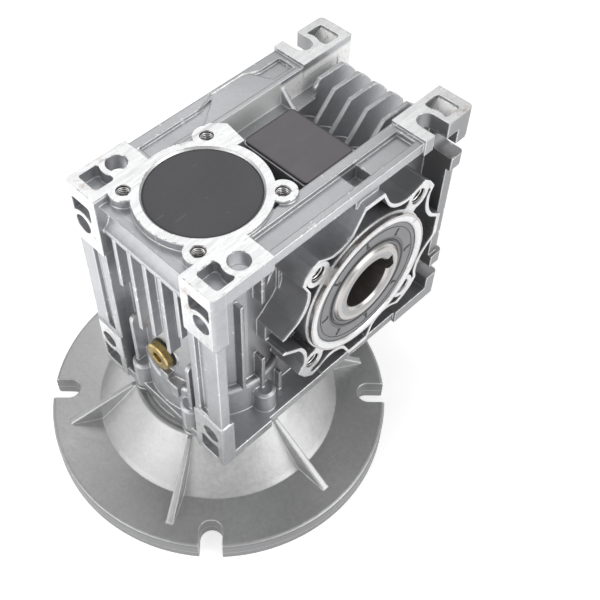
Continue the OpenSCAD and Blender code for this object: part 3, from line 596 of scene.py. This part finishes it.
# ------------------------------------------------------------------ stage
def make_floor():
    t = Tree("floor_white")
    n = t.noise(3, 2, 0.5)
    c = t.mix(t.ramp(n, 0.3, 0.7), (0.86, 0.86, 0.87), (0.88, 0.88, 0.89))
    t.b.inputs["Emission Color"].default_value = (1, 1, 1, 1)
    x, y, z = t.xyz()
    # the floor glows, more strongly towards the left of the view, and lights the part from below as a lamp would
    across = t.math("SUBTRACT", t.math("MULTIPLY", y, 0.55), t.math("MULTIPLY", x, 0.83))
    t.put(t.b.inputs["Emission Strength"], t.ramp(across, -0.22, 0.30, 0.41, 0.92, smooth=True))
    return t.set(c, 0.0, 0.8)


fm = bpy.data.meshes.new("floor")
fm.from_pydata([(-6, -6, 0), (6, -6, 0), (6, 6, 0), (-6, 6, 0)], [], [(0, 1, 2, 3)])
fm.materials.append(make_floor())
floor = bpy.data.objects.new("floor", fm)
bpy.context.scene.collection.objects.link(floor)

world = bpy.data.worlds.new("studio")
bpy.context.scene.world = world
world.use_nodes = True
wt = world.node_tree
bg = wt.nodes["Background"]
# soft room: bright low down on the near side, dimmer towards the far side and the ceiling


def wnode(kind, ins, out=0, **props):
    n = wt.nodes.new(kind)
    for k, v in props.items():
        setattr(n, k, v)
    for k, v in ins.items():
        if hasattr(v, "is_output"):
            wt.links.new(v, n.inputs[k])
        else:
            n.inputs[k].default_value = v
    return n.outputs[out]


direction = wt.nodes.new("ShaderNodeTexCoord").outputs["Generated"]
side = wnode("ShaderNodeVectorMath", {0: direction, 1: (-0.80, -0.35, 0.0)}, "Value", operation="DOT_PRODUCT")
height = wnode("ShaderNodeSeparateXYZ", {0: direction}, 2)
f1 = wnode("ShaderNodeMapRange", {0: side, 1: -0.7, 2: 0.9, 3: 0.48, 4: 0.90}, interpolation_type="SMOOTHSTEP")
ahead = wnode("ShaderNodeVectorMath", {0: direction, 1: (-0.52, -0.64, 0.57)}, "Value", operation="DOT_PRODUCT")
f3 = wnode("ShaderNodeMapRange", {0: ahead, 1: 0.84, 2: 0.98, 3: 1.0, 4: 0.28}, interpolation_type="SMOOTHSTEP")
f2 = wnode("ShaderNodeMapRange", {0: height, 1: 0.50, 2: 0.95, 3: 1.0, 4: 0.55}, interpolation_type="SMOOTHSTEP")
bg.inputs[0].default_value = (1.0, 1.0, 1.0, 1)
room = wnode("ShaderNodeMath", {0: f1, 1: f2}, operation="MULTIPLY")
wt.links.new(wnode("ShaderNodeMath", {0: room, 1: f3}, operation="MULTIPLY"), bg.inputs[1])


def area(name, loc, target, size, power, color=(1, 1, 1)):
    d = bpy.data.lights.new(name, "AREA")
    d.shape = "RECTANGLE"
    d.size, d.size_y = size
    d.energy = power
    d.color = color
    o = bpy.data.objects.new(name, d)
    o.location = loc
    o.rotation_euler = (Vector(target) - Vector(loc)).to_track_quat("-Z", "Y").to_euler()
    bpy.context.scene.collection.objects.link(o)
    return o


area("left", (-1.35, 0.15, 0.66), (0, 0, 0.08), (1.1, 0.8), 4.4)
area("right", (0.42, -1.20, 0.78), (0, 0, 0.08), (1.0, 1.3), 8)
area("front", (-0.80, -0.95, 1.05), (0, 0, 0.08), (0.6, 0.6), 0.6)
area("top", (0.55, 0.68, 1.15), (0, 0, 0.08), (0.9, 0.55), 2.4)

# ------------------------------------------------------------------ camera
az, el, roll = math.radians(-40.02), math.radians(52.43), math.radians(-3.46)
back = Vector((math.sin(az) * math.cos(el), -math.cos(az) * math.cos(el), math.sin(el)))
right0 = Vector((math.cos(az), math.sin(az), 0))
up0 = back.cross(right0)
right = math.cos(roll) * right0 + math.sin(roll) * up0
up = -math.sin(roll) * right0 + math.cos(roll) * up0
cam_d = bpy.data.cameras.new("camera")
cam_d.sensor_width = 36
cam_d.lens = 56.85
cam_d.shift_x = 0.1302
cam_d.shift_y = 0.0017
cam = bpy.data.objects.new("camera", cam_d)
cam.matrix_world = Matrix(((right.x, up.x, back.x, -0.15918), (right.y, up.y, back.y, -0.19698),
                           (right.z, up.z, back.z, 0.41359), (0, 0, 0, 1)))
bpy.context.scene.collection.objects.link(cam)
bpy.context.scene.camera = cam
bpy.context.scene.view_settings.view_transform = "Standard"
